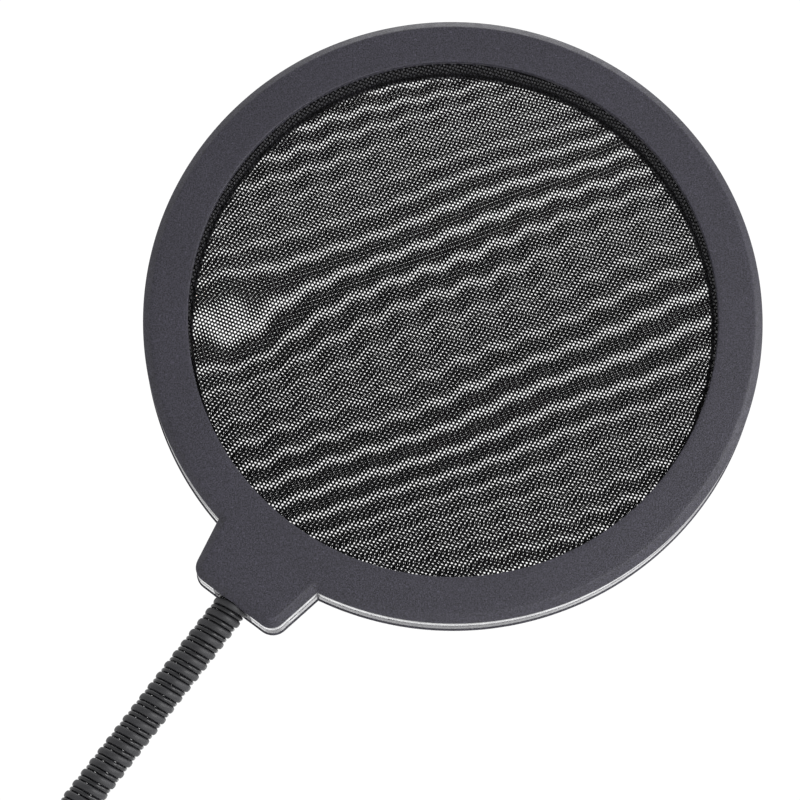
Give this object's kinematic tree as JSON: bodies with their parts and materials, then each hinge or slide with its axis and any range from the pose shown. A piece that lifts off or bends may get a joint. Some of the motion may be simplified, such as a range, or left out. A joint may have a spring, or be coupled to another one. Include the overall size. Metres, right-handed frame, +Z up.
{
  "type": "pop filter",
  "caption": "Round double-mesh pop filter in a flat hoop, on a spiral gooseneck that swivels on a screw clamp for a stand tube.",
  "frame": {"origin": "on the axis of the stand tube that the clamp grips, half-way up the clamp", "axes": "+Z up along the stand tube; the screen faces -Y; the gooseneck leans towards +X; the clamp screw runs along +Y"},
  "size_m": [0.3105, 0.1114, 0.4679],
  "materials": {
    "hoop_plastic": "fine moulded texture, satin",
    "clamp_plastic": "fine moulded texture",
    "coil": "black coated spring wire, semi-matt",
    "plated_steel": "bright zinc plating",
    "brass": "turned",
    "rubber_pad": "matt",
    "mesh": "open knitted net, black"
  },
  "bodies": {
    "clamp": {"clamp_body": "clamp_plastic", "jaw_pad": "rubber_pad", "screw_nut": "brass", "hub_cap": "clamp_plastic"},
    "foot": {"pressure_foot": "clamp_plastic", "foot_pad": "rubber_pad"},
    "screw": {"clamp_screw": "plated_steel", "knob": "clamp_plastic", "knob_cap": "clamp_plastic"},
    "neck_base": {"base_ferrule": "plated_steel", "swivel_washer": "rubber_pad", "stem_washer": "plated_steel", "stem_nut": "plated_steel", "neck_section_00": "coil"},
    "neck_01": {"neck_section_01": "coil"},
    "neck_02": {"neck_section_02": "coil"},
    "neck_03": {"neck_section_03": "coil"},
    "neck_04": {"neck_section_04": "coil"},
    "neck_05": {"neck_section_05": "coil"},
    "neck_06": {"neck_section_06": "coil"},
    "neck_07": {"neck_section_07": "coil"},
    "neck_08": {"neck_section_08": "coil"},
    "neck_09": {"neck_section_09": "coil"},
    "neck_10": {"neck_section_10": "coil"},
    "neck_11": {"neck_section_11": "coil"},
    "neck_12": {"neck_section_12": "coil"},
    "neck_13": {"neck_section_13": "coil"},
    "neck_14": {"neck_section_14": "coil"},
    "neck_15": {"neck_section_15": "coil"},
    "screen": {"neck_section_16": "coil", "top_ferrule": "plated_steel", "front_hoop": "hoop_plastic", "rear_hoop": "hoop_plastic", "spacer_ring": "hoop_plastic", "front_mesh": "mesh", "rear_mesh": "mesh", "hoop_screws": "plated_steel", "tab_screws": "plated_steel"}
  },
  "joints": [
    {"name": "foot_advance", "type": "slide", "parent": "clamp", "child": "foot", "axis": [0, -1, 0], "range_m": [-0.018, 0.018]},
    {"name": "screw_turn", "type": "hinge", "parent": "foot", "child": "screw", "pos_m": [0, 0.03, 0], "axis": [0, -1, 0], "range_deg": [-5185, 5185]},
    {"name": "neck_swivel", "type": "hinge", "parent": "clamp", "child": "neck_base", "pos_m": [0.03, 0.0153, 0.012], "axis": [0, 0, 1], "continuous": true},
    {"name": "neck_lower_lean_01", "type": "hinge", "parent": "neck_base", "child": "neck_01", "pos_m": [0.03, 0.0153, 0.0326], "axis": [0, 1, 0], "range_deg": [-18, 18]},
    {"name": "neck_lower_swing_02", "type": "hinge", "parent": "neck_01", "child": "neck_02", "pos_m": [0.03128, 0.0153, 0.05236], "axis": [0.9953, 0, -0.0967], "range_deg": [-18, 18]},
    {"name": "neck_lower_lean_03", "type": "hinge", "parent": "neck_02", "child": "neck_03", "pos_m": [0.03383, 0.0153, 0.07199], "axis": [0, 1, 0], "range_deg": [-18, 18]},
    {"name": "neck_lower_swing_04", "type": "hinge", "parent": "neck_03", "child": "neck_04", "pos_m": [0.03764, 0.0153, 0.09142], "axis": [0.9746, 0, -0.2241], "range_deg": [-18, 18]},
    {"name": "neck_lower_lean_05", "type": "hinge", "parent": "neck_04", "child": "neck_05", "pos_m": [0.0427, 0.0153, 0.11057], "axis": [0, 1, 0], "range_deg": [-18, 18]},
    {"name": "neck_lower_swing_06", "type": "hinge", "parent": "neck_05", "child": "neck_06", "pos_m": [0.04898, 0.0153, 0.12934], "axis": [0.9376, 0, -0.3478], "range_deg": [-18, 18]},
    {"name": "neck_lower_lean_07", "type": "hinge", "parent": "neck_06", "child": "neck_07", "pos_m": [0.05646, 0.0153, 0.14768], "axis": [0, 1, 0], "range_deg": [-18, 18]},
    {"name": "neck_lower_swing_08", "type": "hinge", "parent": "neck_07", "child": "neck_08", "pos_m": [0.06511, 0.0153, 0.16549], "axis": [0.885, 0, -0.4656], "range_deg": [-18, 18]},
    {"name": "neck_upper_lean_09", "type": "hinge", "parent": "neck_08", "child": "neck_09", "pos_m": [0.07489, 0.0153, 0.1827], "axis": [0, 1, 0], "range_deg": [-18, 18]},
    {"name": "neck_upper_swing_10", "type": "hinge", "parent": "neck_09", "child": "neck_10", "pos_m": [0.08576, 0.0153, 0.19925], "axis": [0.8176, 0, -0.5757], "range_deg": [-18, 18]},
    {"name": "neck_upper_lean_11", "type": "hinge", "parent": "neck_10", "child": "neck_11", "pos_m": [0.09768, 0.0153, 0.21507], "axis": [0, 1, 0], "range_deg": [-18, 18]},
    {"name": "neck_upper_swing_12", "type": "hinge", "parent": "neck_11", "child": "neck_12", "pos_m": [0.10959, 0.0153, 0.23088], "axis": [0.7986, 0, -0.6018], "range_deg": [-18, 18]},
    {"name": "neck_upper_lean_13", "type": "hinge", "parent": "neck_12", "child": "neck_13", "pos_m": [0.12151, 0.0153, 0.24669], "axis": [0, 1, 0], "range_deg": [-18, 18]},
    {"name": "neck_upper_swing_14", "type": "hinge", "parent": "neck_13", "child": "neck_14", "pos_m": [0.13342, 0.0153, 0.2625], "axis": [0.7986, 0, -0.6018], "range_deg": [-18, 18]},
    {"name": "neck_upper_lean_15", "type": "hinge", "parent": "neck_14", "child": "neck_15", "pos_m": [0.14534, 0.0153, 0.27832], "axis": [0, 1, 0], "range_deg": [-18, 18]},
    {"name": "neck_upper_swing_16", "type": "hinge", "parent": "neck_15", "child": "screen", "pos_m": [0.15726, 0.0153, 0.29413], "axis": [0.7986, 0, -0.6018], "range_deg": [-18, 18]}
  ],
  "couplings": [
    {"joint": "screw_turn", "follows": "foot_advance", "rad_per_m": 5026.5},
    {"joint": "neck_lower_lean_03", "follows": "neck_lower_lean_01", "ratio": 1},
    {"joint": "neck_lower_swing_04", "follows": "neck_lower_swing_02", "ratio": 1},
    {"joint": "neck_lower_lean_05", "follows": "neck_lower_lean_01", "ratio": 1},
    {"joint": "neck_lower_swing_06", "follows": "neck_lower_swing_02", "ratio": 1},
    {"joint": "neck_lower_lean_07", "follows": "neck_lower_lean_01", "ratio": 1},
    {"joint": "neck_lower_swing_08", "follows": "neck_lower_swing_02", "ratio": 1},
    {"joint": "neck_upper_lean_11", "follows": "neck_upper_lean_09", "ratio": 1},
    {"joint": "neck_upper_swing_12", "follows": "neck_upper_swing_10", "ratio": 1},
    {"joint": "neck_upper_lean_13", "follows": "neck_upper_lean_09", "ratio": 1},
    {"joint": "neck_upper_swing_14", "follows": "neck_upper_swing_10", "ratio": 1},
    {"joint": "neck_upper_lean_15", "follows": "neck_upper_lean_09", "ratio": 1},
    {"joint": "neck_upper_swing_16", "follows": "neck_upper_swing_10", "ratio": 1}
  ]
}
